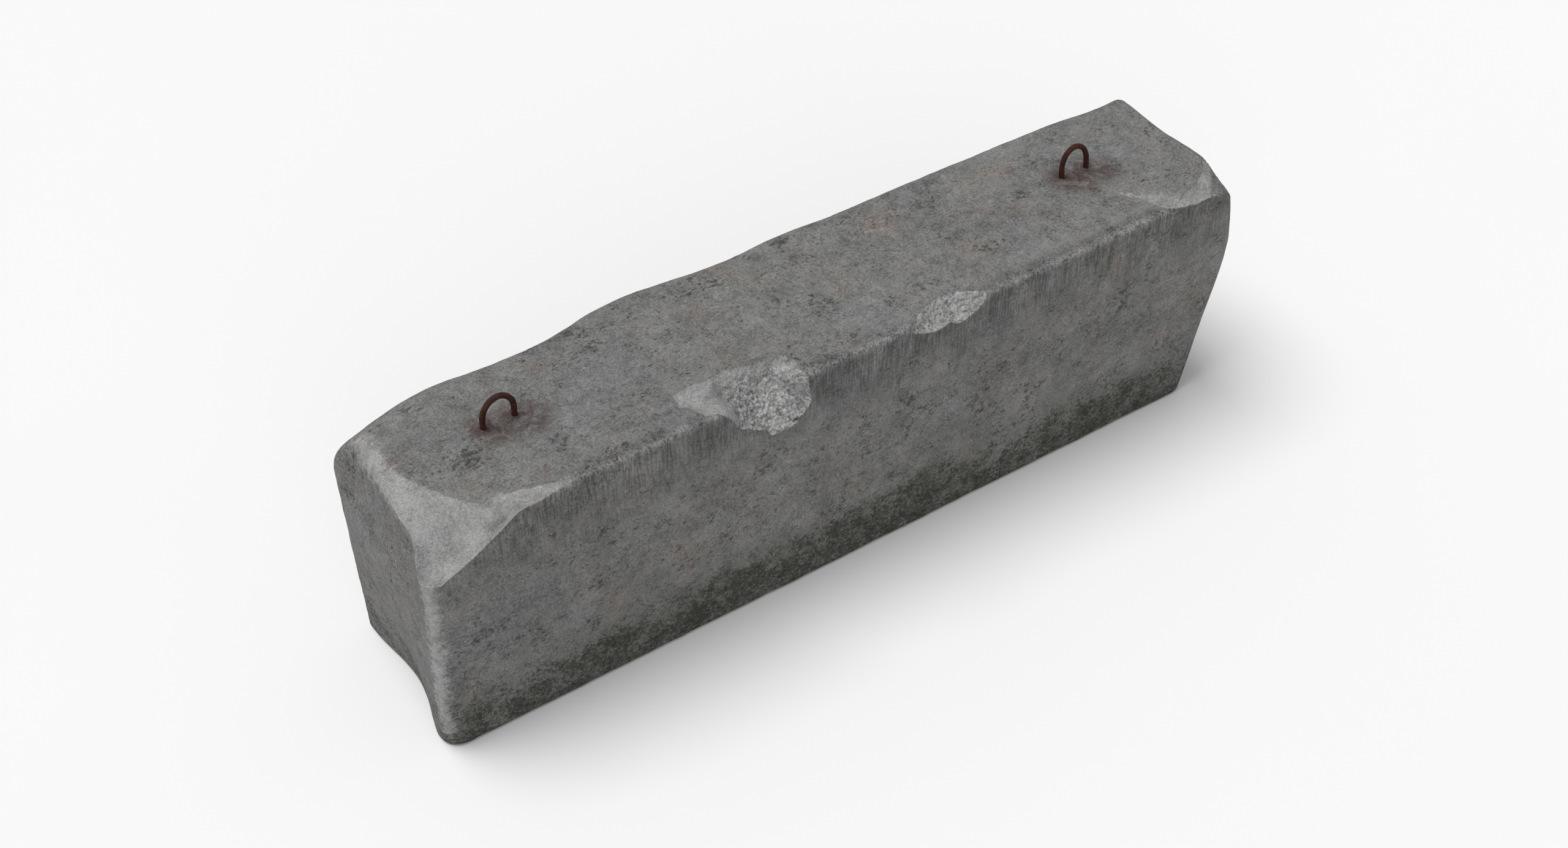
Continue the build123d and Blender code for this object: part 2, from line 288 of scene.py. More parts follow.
def right_tongue_floor(u, v, p):
    """A flake off the top: from level at its far side it slopes down to a small step on its near side."""
    return 0.13 * (v - 0.008 - 0.27 * u) + wobble(p, 0.03, 0.0008)


def steady(slope):
    return lambda p: slope


def large_spall_wall(p):
    """Gentle round the tongue, steep on the right."""
    return 0.30 + 2.2 * smooth_step(p[:, 0], -0.33, -0.20)


LEFT_FRONT_RIM = [(-0.99, 0.36), (-0.93, 0.36), (-0.893, 0.282), (-0.874, 0.186), (-0.851, 0.146),
                  (-0.825, 0.093), (-0.801, 0.060), (-0.778, 0.036), (-0.740, 0.052), (-0.700, 0.000),
                  (-0.730, -0.016), (-0.791, -0.057), (-0.843, -0.089), (-0.891, -0.114),
                  (-0.925, -0.095), (-0.99, -0.100)]
LEFT_RIDGE_RIM = [(-0.850, 0.150), (-0.801, 0.060), (-0.778, 0.040), (-0.740, 0.050), (-0.707, 0.034),
                  (-0.657, 0.021), (-0.605, 0.004), (-0.624, -0.004), (-0.640, -0.012), (-0.690, -0.013),
                  (-0.730, -0.016), (-0.791, -0.057), (-0.850, -0.095)]
LARGE_RIM = [(-0.364, 0.089), (-0.330, 0.097), (-0.257, 0.092), (-0.213, 0.090), (-0.157, 0.087),
             (-0.135, 0.073), (-0.125, 0.050), (-0.129, 0.024), (-0.124, 0.003), (-0.116, -0.040),
             (-0.117, -0.070), (-0.121, -0.088), (-0.140, -0.100), (-0.156, -0.130), (-0.161, -0.151),
             (-0.175, -0.146), (-0.192, -0.130), (-0.211, -0.112), (-0.217, -0.096), (-0.239, -0.084),
             (-0.255, -0.072), (-0.277, -0.063), (-0.293, -0.028), (-0.316, 0.002), (-0.342, 0.011),
             (-0.354, 0.042), (-0.370, 0.059)]
SMALL_RIM = [(0.113, 0.002), (0.148, 0.027), (0.167, 0.035), (0.210, 0.046), (0.237, 0.041), (0.270, 0.025),
             (0.293, 0.010), (0.293, -0.007), (0.276, -0.030), (0.252, -0.042), (0.242, -0.051),
             (0.221, -0.045), (0.205, -0.033), (0.179, -0.041), (0.143, -0.032), (0.116, -0.016)]
RIGHT_FRONT_RIM = [(0.766, 0.002), (0.800, 0.041), (0.825, 0.030), (0.856, 0.040), (0.874, 0.056),
                   (0.903, 0.081), (0.919, 0.102), (0.99, 0.180), (0.99, -0.070), (0.919, -0.049),
                   (0.904, -0.034), (0.879, -0.026), (0.855, -0.013), (0.830, -0.017), (0.800, -0.014)]
RIGHT_TONGUE_RIM = [(0.691, 0.121), (0.704, 0.131), (0.732, 0.116), (0.757, 0.092), (0.786, 0.069),
                    (0.806, 0.044), (0.830, 0.020), (0.800, -0.010), (0.770, 0.000), (0.750, 0.013),
                    (0.737, 0.038), (0.727, 0.065), (0.711, 0.081), (0.700, 0.096)]

BREAKS = {
    "left_front": Break((-0.937, -0.1955, 0.470), (-0.411, -0.247, 0.878), (1, 0, 0),
                        LEFT_FRONT_RIM, left_front_floor, steady(1.2), 0.0012),
    "left_ridge": Break((-0.647, -0.1955, 0.556), (-0.161, -0.40, 0.90), (1, 0, 0),
                        LEFT_RIDGE_RIM, left_ridge_floor, steady(0.7), 0.003),
    "large": Break((-0.215, -0.141, 0.508), (0, -0.729, 0.684), (1, 0, 0),
                   LARGE_RIM, large_spall_floor, large_spall_wall, 0.003),
    "flake": Break((-0.30, -0.13, TOP - 0.006), (-0.01, -0.04, 1), (1, 0, 0),
                   LARGE_RIM, flake_floor, steady(0.8), 0.003),
    "small": Break((0.198, -0.166, 0.540), (0, -0.66, 0.75), (1, 0, 0),
                   SMALL_RIM, small_spall_floor, steady(1.0), 0.002),
    "right_front": Break((0.739, -0.189, TOP), (0.183, -0.423, 0.888), (1, 0, 0),
                         RIGHT_FRONT_RIM, bevel_floor, steady(1.0), 0.002),
    "right_corner": Break((0.919, -0.1885, 0.518), (0.473, -0.377, 0.797), (1, 0, 0),
                          RIGHT_FRONT_RIM, bevel_floor, steady(1.0), 0.002),
    "right_tongue": Break((0.695, -0.060, TOP), (0, 0, 1), (0.606, -0.795, 0),
                          RIGHT_TONGUE_RIM, right_tongue_floor, steady(1.5), 0.0015),
}

# Boxes of the plain block round each break, where the mesh is finer
FINE_ZONES = [
    ((LEFT, FRONT, 0.44), (-0.60, 0.12, TOP)),
    ((-0.40, FRONT, 0.41), (-0.09, -0.06, TOP)),
    ((0.08, FRONT, 0.51), (0.32, -0.10, TOP)),
    ((0.66, FRONT, 0.49), (RIGHT, -0.03, TOP)),
]


def in_zones(points, margin):
    inside = np.zeros(len(points), bool)
    for low, high in FINE_ZONES:
        inside |= ((points > np.array(low) - margin) & (points < np.array(high) + margin)).all(1)
    return inside


def split_faces(bm, chosen):
    edges = list({edge for face, wanted in zip(list(bm.faces), chosen) if wanted for edge in face.edges})
    bmesh.ops.subdivide_edges(bm, edges=edges, cuts=1, use_grid_fill=True)


def face_centres(bm):
    return np.array([face.calc_center_median() for face in bm.faces])


def fine_box(low, high):
    """A box of even quads, split twice more round the breaks."""
    bm = bmesh.new()
    bmesh.ops.create_cube(bm, size=1.0)
    size = Vector(high) - Vector(low)
    bmesh.ops.scale(bm, vec=size, verts=bm.verts)
    bmesh.ops.translate(bm, vec=(Vector(high) + Vector(low)) / 2, verts=bm.verts)
    for axis in range(3):
        along = [e for e in bm.edges if abs((e.verts[0].co - e.verts[1].co)[axis]) > 0.5 * size[axis]]
        bmesh.ops.subdivide_edges(bm, edges=along, cuts=round(size[axis] / GRID) - 1, use_grid_fill=True)
    for margin in (0.012, 0.0):
        split_faces(bm, in_zones(face_centres(bm), margin))
    bmesh.ops.triangulate(bm, faces=[f for f in bm.faces if len(f.verts) > 4])
    return bm


def coordinates(mesh):
    values = np.zeros(len(mesh.vertices) * 3)
    mesh.vertices.foreach_get("co", values)
    return values.reshape(-1, 3)


def vertex_normals(mesh):
    values = np.zeros(len(mesh.vertices) * 3)
    mesh.vertex_normals.foreach_get("vector", values)
    return values.reshape(-1, 3)


def move_vertices(mesh, p):
    mesh.vertices.foreach_set("co", p.astype(np.float32).ravel())
    mesh.update()


def store(mesh, name, values):
    attribute = mesh.attributes.new(name, "FLOAT", "POINT")
    attribute.data.foreach_set("value", np.asarray(values, np.float32))


def new_object(name, mesh):
    piece = bpy.data.objects.new(name, mesh)
    bpy.context.scene.collection.objects.link(piece)
    mesh.polygons.foreach_set("use_smooth", [True] * len(mesh.polygons))
    return piece


def edge_wear(p):
    """How rubbed the skin is: strongest on the left end's arrises, 0 on the faces."""
    front, _, left, right, top, _ = block_faces(p)
    ridge = 0.30 * meeting(front, top, 0.012)
    left_front = 1.15 * meeting(left, front, 0.036) * smooth_step(p[:, 2], 0.01, 0.06)
    left_top = 1.25 * meeting(left, top, 0.055)
    right_front = 0.45 * meeting(right, front, 0.02)
    return np.maximum.reduce([ridge, left_front, left_top, right_front])


def coarseness(p):
    """How coarse the broken surface is: 1 deep in the middle spalls, low on the worn corner chips."""
    x = p[:, 0]
    large = BREAKS["large"]
    low = smooth_step((p - large.origin) @ large.v, 0.075, 0.03) * smooth_step(x, -0.31, -0.24)
    in_large = (x > -0.40) & (x < -0.09)
    in_small = (x > 0.08) & (x < 0.33)
    return np.maximum.reduce([in_large * (0.22 + 0.95 * low), in_small * 1.0, np.full(len(p), 0.16)])


# The pale band on the right corner ends on a line in plan: a point of it, and the way past it
BAND_END = (0.867, -0.184)
BAND_PAST = (0.76, -0.65)


def past_right_band(p):
    """1 beyond the pale band on the right corner, where the break is old and streaked."""
    past = BAND_PAST[0] * (p[:, 0] - BAND_END[0]) + BAND_PAST[1] * (p[:, 1] - BAND_END[1])
    return smooth_step(past, -0.002, 0.005)


ARRIS_WIDTH = 0.017                 # of the pale line along the front's top edge
BROKEN_DEPTH = 0.004                # how deep a break is once its surface looks wholly new
LUMP_HEIGHT = 0.0056                # relief of the coarsest broken concrete


def make_casting():
    """The block's surface: settled on the worn block, cut by the breaks, then given its relief."""
    bm = fine_box(BODY_LOW, BODY_HIGH)
    mesh = bpy.data.meshes.new("concrete_casting")
    bm.to_mesh(mesh)
    bm.free()
    p = settle(stretch_to_block(coordinates(mesh)), block_field)
    wear = edge_wear(p)
    front, _, _, _, top, _ = block_faces(p)
    arris = meeting(front, top, ARRIS_WIDTH)
    broken = np.full(len(p), -1.0)
    for piece in BREAKS.values():
        p, depth = piece.cut(p)
        broken = np.maximum(broken, depth)
    move_vertices(mesh, p)
    fresh = smooth_step(broken, 0.0, 0.002)
    relief = 0.0014 * fractal(p, 0.16, 3) + 0.0006 * fractal(p, 0.03, 3)
    lumps = 0.30 * fractal(p, 0.030, 3) + 0.90 * (0.5 - cells(p, 0.0095, (0.75, 1.3, 1.3)))
    lumps += 0.80 * (0.5 - cells(p, 0.0055)) + 0.40 * fractal(p, 0.0065, 2)
    push = relief * (1 - fresh) + LUMP_HEIGHT * lumps * fresh * coarseness(p)
    p = p + vertex_normals(mesh) * push[:, None]
    p[:, 2] = np.maximum(p[:, 2], 0.0)
    move_vertices(mesh, p)
    dulled = 0.40 * smooth_step(p[:, 0], 0.50, 0.60) + 0.8 * past_right_band(p)
    store(mesh, "fresh", np.clip(broken / BROKEN_DEPTH, -1, 1) - dulled)
    store(mesh, "coarse", coarseness(p))
    store(mesh, "wear", wear)
    # the relief's height is also stored to paint shade in its hollows and highlights on its tops
    store(mesh, "relief_shade_and_highlight", lumps)
    store(mesh, "arris", arris)
    piece = new_object("concrete_casting", mesh)
    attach(piece, "root")
    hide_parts("concrete_body")
    return piece


# ======================================================================================
# materials
# ======================================================================================

class Shader:
    """A material under construction: each call adds one node and returns its output socket."""

    def __init__(self, name):
        self.material = bpy.data.materials.new(name)
        self.material.use_nodes = True
        self.tree = self.material.node_tree
        self.tree.nodes.clear()
        self.place = self.node("TexCoord").outputs["Object"]
        self.count = 0

    def node(self, kind, inputs=(), **settings):
        node = self.tree.nodes.new("ShaderNode" + kind)
        for name, value in settings.items():
            setattr(node, name, value)
        for socket, value in dict(inputs).items():
            if isinstance(value, bpy.types.NodeSocket):
                self.tree.links.new(value, node.inputs[socket])
            else:
                node.inputs[socket].default_value = value
        return node

    def scaled(self, size, stretch):
        """The place divided by size, so that a pattern's features are about size across."""
        self.count += 1
        scale = [1 / (size * s) for s in stretch]
        shift = [1.7 * self.count, 3.1 * self.count, 0.9 * self.count]
        inputs = {0: self.place, 1: scale, 2: shift}
        return self.node("VectorMath", inputs, operation="MULTIPLY_ADD").outputs[0]

    def noise(self, size, detail=3.0, rough=0.55, stretch=(1, 1, 1), twist=0.0):
        inputs = {"Vector": self.scaled(size, stretch), "Scale": 1.0, "Detail": detail}
        inputs.update({"Roughness": rough, "Distortion": twist})
        return self.node("TexNoise", inputs).outputs["Fac"]

    def cells(self, size, stretch=(1, 1, 1)):
        inputs = {"Vector": self.scaled(size, stretch), "Scale": 1.0}
        return self.node("TexVoronoi", inputs).outputs["Distance"]

    def attribute(self, name):
        return self.node("Attribute", attribute_name=name).outputs["Fac"]

    def math(self, operation, a, b):
        return self.node("Math", {0: a, 1: b}, operation=operation).outputs[0]

    def plus(self, a, b):
        return self.math("ADD", a, b)

    def minus(self, a, b):
        return self.math("SUBTRACT", a, b)

    def times(self, *factors):
        product = factors[0]
        for factor in factors[1:]:
            product = self.math("MULTIPLY", product, factor)
        return product

    def step(self, value, low, high, start=0.0, end=1.0):
        """value, rescaled smoothly from low..high to start..end."""
        inputs = {"Value": value, "From Min": low, "From Max": high, "To Min": start, "To Max": end}
        return self.node("MapRange", inputs, interpolation_type="SMOOTHSTEP").outputs["Result"]

    def mix(self, factor, a, b):
        """Colour a where factor is 0, colour b where it is 1."""
        inputs = {0: factor, 6: colour(a), 7: colour(b)}
        return self.node("Mix", inputs, data_type="RGBA").outputs[2]

    def scale_colour(self, base, factor):
        """base made lighter or darker: factor 1 leaves it."""
        return self.node("VectorMath", {0: base, 3: factor}, operation="SCALE").outputs[0]

    def finish(self, base, roughness, height, distance, metallic=0.0):
        bump_node = self.node("Bump", {"Height": height, "Distance": distance, "Strength": 1.0})
        inputs = {"Base Color": base, "Roughness": roughness, "Metallic": metallic}
        inputs["Normal"] = bump_node.outputs["Normal"]
        inputs["Specular IOR Level"] = 0.3
        surface = self.node("BsdfPrincipled", inputs).outputs["BSDF"]
        self.node("OutputMaterial", {"Surface": surface})
        return self.material


def colour(value):
    if isinstance(value, bpy.types.NodeSocket):
        return value
    return (*value, 1.0)


def colour_node(shader, value):
    node = shader.node("RGB")
    node.outputs[0].default_value = colour(value)
    return node.outputs[0]


GREY = (0.163, 0.162, 0.157)
WARM_GREY = (0.178, 0.161, 0.149)
COOL_GREY = (0.160, 0.162, 0.161)
FRESH = (0.345, 0.345, 0.341)
MOSS = (0.034, 0.037, 0.026)
DIRT = (0.084, 0.088, 0.070)
SOOT = (0.034, 0.034, 0.031)
STAIN = (0.052, 0.024, 0.020)


def concrete_material():
    s = Shader("weathered_concrete")
    wear, relief_shade_and_highlight, coarse = s.attribute("wear"), s.attribute("relief_shade_and_highlight"), s.attribute("coarse")
    moss, rust, streak = s.attribute("moss"), s.attribute("rust"), s.attribute("streak")
    soot = s.attribute("soot")
    grain = s.noise(0.0042, 3, 0.75)
    mottle = s.noise(0.020, 5, 0.72, twist=0.6)

    ragged = s.minus(s.noise(0.010, 5, 0.75), 0.5)
    fresh = s.step(s.plus(s.attribute("fresh"), s.times(ragged, 2.2)), -0.10, 0.80)

    # the old, grey skin
    base = s.mix(s.step(s.noise(0.09, 3), 0.50, 0.75), GREY, WARM_GREY)
    base = s.mix(s.step(s.noise(0.20, 2), 0.50, 0.70), base, COOL_GREY)
    tone = s.step(s.noise(0.15, 3, 0.6), 0.3, 0.7, 0.90, 1.10)
    tone = s.plus(tone, s.step(s.noise(0.045, 4, 0.6), 0.3, 0.7, -0.12, 0.12))
    tone = s.plus(tone, s.times(s.minus(mottle, 0.5), 1.15))
    tone = s.plus(tone, s.times(s.minus(grain, 0.5), 2.0))
    flecks = s.step(s.noise(0.0055, 3, 0.7), 0.60, 0.72)
    tone = s.plus(tone, s.times(flecks, 0.40))
    tone = s.plus(tone, s.times(s.attribute("arris"), s.step(mottle, 0.30, 0.55, 0.3, 1.0), 0.80))
    skin = s.scale_colour(base, tone)

    # fine run-down lines below the front's top edge
    lines = s.noise(0.0040, 2, 0.6, stretch=(1, 1, 14))
    broad = s.noise(0.045, 3, 0.6, stretch=(1, 1, 2))
    shade = s.plus(s.step(lines, 0.43, 0.60, 0.0, 1.3), s.step(broad, 0.35, 0.65))
    skin = s.mix(s.times(streak, shade, 0.33), skin, SOOT)

    # dark specks: thick where soot gathers, in loose clusters elsewhere, and a few alone
    specks = s.noise(0.0085, 5, 0.85, stretch=(1.4, 1, 1))
    clusters = s.step(s.noise(0.060, 4, 0.65), 0.40, 0.72, -0.10, 0.05)
    crowded = s.plus(s.plus(specks, clusters), s.times(soot, 0.052))
    skin = s.mix(s.step(crowded, 0.51, 0.62, 0.0, 0.85), skin, SOOT)
    lone = s.step(s.noise(0.012, 3, 0.7), 0.68, 0.73)
    skin = s.mix(s.times(lone, 0.7), skin, SOOT)

    # moss and splashed dirt: specks that crowd together towards the foot
    veil = s.plus(moss, s.step(s.noise(0.11, 4, 0.65), 0.25, 0.75, -0.40, 0.40))
    skin = s.mix(s.times(s.step(veil, 0.10, 1.10), 0.40), skin, DIRT)
    tufts = s.noise(0.0080, 5, 0.85)
    tufts = s.plus(tufts, s.step(s.noise(0.040, 5, 0.75), 0.30, 0.70, -0.10, 0.10))
    tufts = s.plus(tufts, s.step(moss, 0.0, 1.3, -0.13, 0.095))
    tufts = s.plus(tufts, s.times(s.minus(0.5, grain), 0.30))
    moss_green = s.scale_colour(colour_node(s, MOSS), s.step(specks, 0.40, 0.60, 1.4, 0.5))
    skin = s.mix(s.step(tufts, 0.43, 0.67, 0.0, 0.96), skin, moss_green)

    # rust run from the loops
    rust_mask = s.times(rust, s.step(s.noise(0.022, 5, 0.70, twist=0.5), 0.30, 0.58))
    skin = s.mix(s.times(rust_mask, 0.90), skin, STAIN)

    # the new, pale surface of the breaks, with painted shade and highlights on its relief, and the rubbed
    # arrises
    new_tone = s.step(s.noise(0.035, 5, 0.75), 0.3, 0.7, 0.76, 1.12)
    speckle = s.times(s.minus(s.noise(0.0036, 3, 0.85), 0.5), 1.9)
    new_tone = s.plus(new_tone, speckle)
    crumbs = s.cells(0.0060, stretch=(0.8, 1.3, 1.3))
    # painted shade: dark spots in the coarse broken concrete that stand for shadowed crevices
    painted_crevice_shade = s.times(s.step(s.noise(0.0055, 3, 0.8), 0.50, 0.40), coarse)
    # painted shade and highlight: the broken concrete is darker in the hollows of its relief and lighter on
    # its tops
    new_tone = s.plus(new_tone, s.times(relief_shade_and_highlight, coarse, 0.42))
    # painted highlight: light spots in the coarse broken concrete that stand for lit crests
    painted_crest_highlights = s.times(s.step(s.noise(0.0055, 3, 0.8), 0.50, 0.60), coarse)
    new_tone = s.plus(new_tone, s.times(painted_crest_highlights, 0.32))
    new_tone = s.plus(new_tone, s.times(coarse, 0.16))
    new_tone = s.minus(new_tone, s.times(painted_crevice_shade, 0.36))
    new = s.scale_colour(colour_node(s, FRESH), new_tone)
    grime = s.times(s.step(s.noise(0.012, 5, 0.8), 0.56, 0.68), s.step(s.noise(0.06, 3), 0.45, 0.65))
    new = s.mix(s.times(grime, 0.55), new, GREY)
    rubbed = s.plus(wear, s.step(s.noise(0.014, 6, 0.80), 0.3, 0.7, -0.50, 0.40))
    skin = s.mix(s.step(rubbed, 0.15, 0.85, 0.0, 0.75), skin, new)
    base = s.mix(fresh, skin, new)

    # height, in units of the bump distance
    pits = s.step(s.cells(0.011), 0.04, 0.26, -1.0, 0.0)
    sparse = s.step(s.noise(0.05, 3), 0.45, 0.62)
    skin_height = s.plus(s.times(grain, 1.1), s.times(pits, sparse, 0.8))
    skin_height = s.plus(skin_height, s.times(mottle, 1.6))
    new_height = s.plus(s.times(s.noise(0.006, 4, 0.78), 3.2), s.times(grain, 0.8))
    new_height = s.minus(new_height, s.times(crumbs, coarse, 1.8))
    height = s.node("Mix", {0: fresh, 2: skin_height, 3: new_height}, data_type="FLOAT").outputs[0]
    return s.finish(base, 0.88, height, 0.0016)


def rust_material():
    s = Shader("rusted_round_bar")
    patches = s.noise(0.012, 4, 0.65)
    grain = s.noise(0.0016, 3, 0.7)
    base = s.mix(s.step(patches, 0.35, 0.65), (0.022, 0.008, 0.006), (0.060, 0.017, 0.010))
    base = s.mix(s.times(s.step(grain, 0.55, 0.75), 0.5), base, (0.10, 0.036, 0.017))
    height = s.plus(s.times(grain, 0.6), patches)
    return s.finish(base, s.step(patches, 0.3, 0.7, 0.7, 0.9), height, 0.0006, 0.15)


def cage_material():
    s = Shader("mill_scale_bar")
    patches = s.noise(0.02, 4, 0.65)
    grain = s.noise(0.002, 3, 0.7)
    base = s.mix(s.step(patches, 0.45, 0.6), (0.055, 0.052, 0.052), (0.16, 0.07, 0.035))
    base = s.scale_colour(base, s.step(grain, 0.3, 0.7, 0.8, 1.2))
    return s.finish(base, s.step(patches, 0.4, 0.6, 0.5, 0.85), grain, 0.0004, 0.4)


def wire_material():
    s = Shader("annealed_wire")
    patches = s.noise(0.006, 3, 0.6)
    base = s.mix(s.step(patches, 0.5, 0.65), (0.035, 0.034, 0.034), (0.12, 0.055, 0.03))
    return s.finish(base, 0.55, s.noise(0.001, 2), 0.0001, 0.6)


def mortar_material():
    s = Shader("spacer_mortar")
    grain = s.noise(0.002, 4, 0.7)
    base = s.mix(s.step(s.noise(0.02, 3), 0.3, 0.7), (0.26, 0.25, 0.235), (0.34, 0.33, 0.31))
    base = s.scale_colour(base, s.step(grain, 0.3, 0.7, 0.85, 1.12))
    return s.finish(base, 0.9, grain, 0.0006)


def spacer_plastic_material():
    s = Shader("recycled_plastic")
    flow = s.noise(0.03, 3, 0.6, stretch=(1, 1, 3), twist=1.0)
    base = s.mix(s.step(flow, 0.35, 0.65), (0.030, 0.033, 0.034), (0.055, 0.058, 0.058))
    return s.finish(base, s.step(flow, 0.3, 0.7, 0.45, 0.6), s.noise(0.0008, 2), 0.00006)


def paint(piece, material):
    piece.data.materials.clear()
    piece.data.materials.append(material)


# ======================================================================================
# masks of dirt, from the block's own shape
# ======================================================================================

# Thick growths on the front: x, z and reach
MOSS_PATCHES = [(-0.60, 0.05, 0.12), (-0.30, 0.08, 0.10), (0.00, 0.07, 0.14),
                (0.16, 0.12, 0.08), (0.62, 0.06, 0.12)]
# Where the dark specks gather: x, y, z and reach
SOOT_PATCHES = [(-0.45, 0.16, 0.56, 0.07), (-0.32, 0.17, 0.56, 0.07), (-0.22, 0.17, 0.56, 0.05),
                (0.04, 0.17, 0.56, 0.05), (-0.75, -0.04, 0.56, 0.07), (-0.94, 0.13, 0.50, 0.09),
                (-0.93, 0.14, 0.12, 0.10), (-0.92, 0.03, 0.08, 0.08), (-0.86, -0.19, 0.24, 0.06),
                (-0.78, -0.19, 0.20, 0.05), (-0.55, -0.19, 0.36, 0.07), (-0.28, -0.19, 0.30, 0.08),
                (0.10, -0.19, 0.34, 0.09), (0.30, -0.19, 0.25, 0.10), (0.62, -0.19, 0.36, 0.08),
                (-0.93, -0.19, 0.08, 0.06)]
# Which way the rust ran from each foot of a loop
RUST_DRIFT = (0.022, -0.026, 0.0)
LOOP_HALF_SPAN = 0.032


def add_dirt_masks(mesh):
    """Store how much moss, run-down dirt, rust and soot there is at each point, 0 where there is none."""
    p = coordinates(mesh)
    x, y, z = p.T
    front = smooth_step(y, FRONT + 0.05, FRONT + 0.015)
    moss = (0.80 * smooth_step(z, 0.20, 0.0) + 0.35 * smooth_step(z, 0.42, 0.05)) * (0.6 + 0.4 * front)
    for centre_x, centre_z, reach in MOSS_PATCHES:
        moss += 0.45 * front * bump(x, centre_x, reach) * bump(z, centre_z, 0.6 * reach)
    store(mesh, "moss", moss)
    streak = smooth_step(z, TOP - 0.20, TOP - 0.02) * front
    store(mesh, "streak", streak)
    rust = np.zeros(len(p))
    for low, high in LOOPS.values():
        centre = (low + high) / 2
        for side in (-1, 1):
            foot = np.array([centre.x + side * LOOP_HALF_SPAN, centre.y, TOP])
            downhill = foot + np.array(RUST_DRIFT)
            near = smooth_step(np.linalg.norm(p - foot, axis=1), 0.055, 0.004)
            run = 0.85 * smooth_step(np.linalg.norm(p - downhill, axis=1), 0.065, 0.010)
            rust = np.maximum.reduce([rust, near, run])
    store(mesh, "rust", rust)
    soot = np.zeros(len(p))
    for *centre, reach in SOOT_PATCHES:
        soot = np.maximum(soot, bump(np.linalg.norm(p - np.array(centre), axis=1), 0, reach))
    store(mesh, "soot", soot)


# ======================================================================================
# lifting loops
# ======================================================================================

BAR_R = 0.006
RUST_LOSS = 0.0003                  # how much thinner rust has left the bar, all round
PIT_SIZE, PIT_DEPTH = 0.006, 0.00022
FLAKE_SIZE, FLAKE_DEPTH = 0.02, 0.00025
CROWN_H = 0.046                     # the crown is half an ellipse of this height
CROWN_STEPS = 60
LOOP_LEAN = {"left": (0.01, -0.09), "right": (-0.083, 0.0)}     # x and y moved per metre of rise
LEAN_START = 0.01                   # the lean starts this far under the top
HOOK_R = 0.030
HOOK_TAIL = 0.050
RING_STEP = 0.002
RING_SIDES = 20


def loop_path(low, high, lean):
    """The loop's centre line from one hook's tail to the other's, as even steps."""
    middle = (low + high) / 2
    crown_z = high.z - BAR_R - CROWN_H
    hook_z = low.z + BAR_R + HOOK_R
    hook_x = LOOP_HALF_SPAN + HOOK_R
    outer_x = hook_x + HOOK_R
    path = []

    def straight(x, z_from, z_to):
        count = max(2, round(abs(z_to - z_from) / RING_STEP))
        path.extend((x, z_from + (z_to - z_from) * i / count) for i in range(count))

    def arc(cx, cz, radius, start, sweep):
        count = max(8, round(radius * abs(sweep) / RING_STEP))
        for i in range(count):
            angle = start + sweep * i / count
            path.append((cx + radius * math.cos(angle), cz + radius * math.sin(angle)))

    straight(-outer_x, hook_z + HOOK_TAIL, hook_z)
    arc(-hook_x, hook_z, HOOK_R, math.pi, math.pi)
    straight(-LOOP_HALF_SPAN, hook_z, crown_z)
    for i in range(CROWN_STEPS):
        angle = math.pi * (1 - i / CROWN_STEPS)
        path.append((LOOP_HALF_SPAN * math.cos(angle), crown_z + CROWN_H * math.sin(angle)))
    straight(LOOP_HALF_SPAN, crown_z, hook_z)
    arc(hook_x, hook_z, HOOK_R, math.pi, math.pi)
    straight(outer_x, hook_z, hook_z + HOOK_TAIL)
    path.append((outer_x, hook_z + HOOK_TAIL))
    points = []
    for x, z in path:
        rise = max(z - TOP + LEAN_START, 0)
        points.append(Vector((middle.x + x + lean[0] * rise, middle.y + lean[1] * rise, z)))
    return points


def make_loop(side, material):
    """A bent round bar with flaking rust: rings of vertices along the path, pitted and thinned."""
    low, high = LOOPS[side]
    path = loop_path(low, high, LOOP_LEAN[side])
    bm = bmesh.new()
    rings = []
    for i, centre in enumerate(path):
        ahead = path[min(i + 1, len(path) - 1)] - path[max(i - 1, 0)]
        across = Vector((0, 1, 0))
        outward = ahead.normalized().cross(across)
        ring = []
        for k in range(RING_SIDES):
            turn = 2 * math.pi * k / RING_SIDES
            direction = across * math.cos(turn) + outward * math.sin(turn)
            place = centre + direction * BAR_R
            pitting = noise.fractal(place / PIT_SIZE, 0.8, 2.0, 3) * PIT_DEPTH
            flakes = noise.fractal(place / FLAKE_SIZE, 0.8, 2.0, 2) * FLAKE_DEPTH
            ring.append(bm.verts.new(centre + direction * (BAR_R - RUST_LOSS + pitting + flakes)))
        rings.append(ring)
    for one, two in zip(rings, rings[1:]):
        for k in range(RING_SIDES):
            after = (k + 1) % RING_SIDES
            bm.faces.new((one[k], one[after], two[after], two[k]))
    bm.faces.new(rings[0])
    bm.faces.new(reversed(rings[-1]))
    bmesh.ops.recalc_face_normals(bm, faces=bm.faces)
    mesh = bpy.data.meshes.new(f"rusted_loop_{side}")
    bm.to_mesh(mesh)
    bm.free()
    piece = new_object(f"rusted_loop_{side}", mesh)
    paint(piece, material)
    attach(piece, "root")
    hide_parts(f"lifting_loop_{side}")


# ======================================================================================
# the object
# ======================================================================================

casting = make_casting()
add_dirt_masks(casting.data)
paint(casting, concrete_material())
rust = rust_material()
for loop_side in LOOPS:
    make_loop(loop_side, rust)

SLOT_MATERIALS = {
    "cage_steel": cage_material(),
    "tie_wire": wire_material(),
    "mortar": mortar_material(),
    "spacer_plastic": spacer_plastic_material(),
}
for part in frame["record"]["subparts"]:
    if part["material_slot"] in SLOT_MATERIALS:
        paint(frame["nodes"][part["node"]], SLOT_MATERIALS[part["material_slot"]])


# ======================================================================================
# floor, light and camera
# ======================================================================================

FLOOR_HALF_SIZE = 30.0
FLOOR_DROP = 0.0005                 # keeps the floor clear of the block's base
SKY_STRENGTH = 0.385
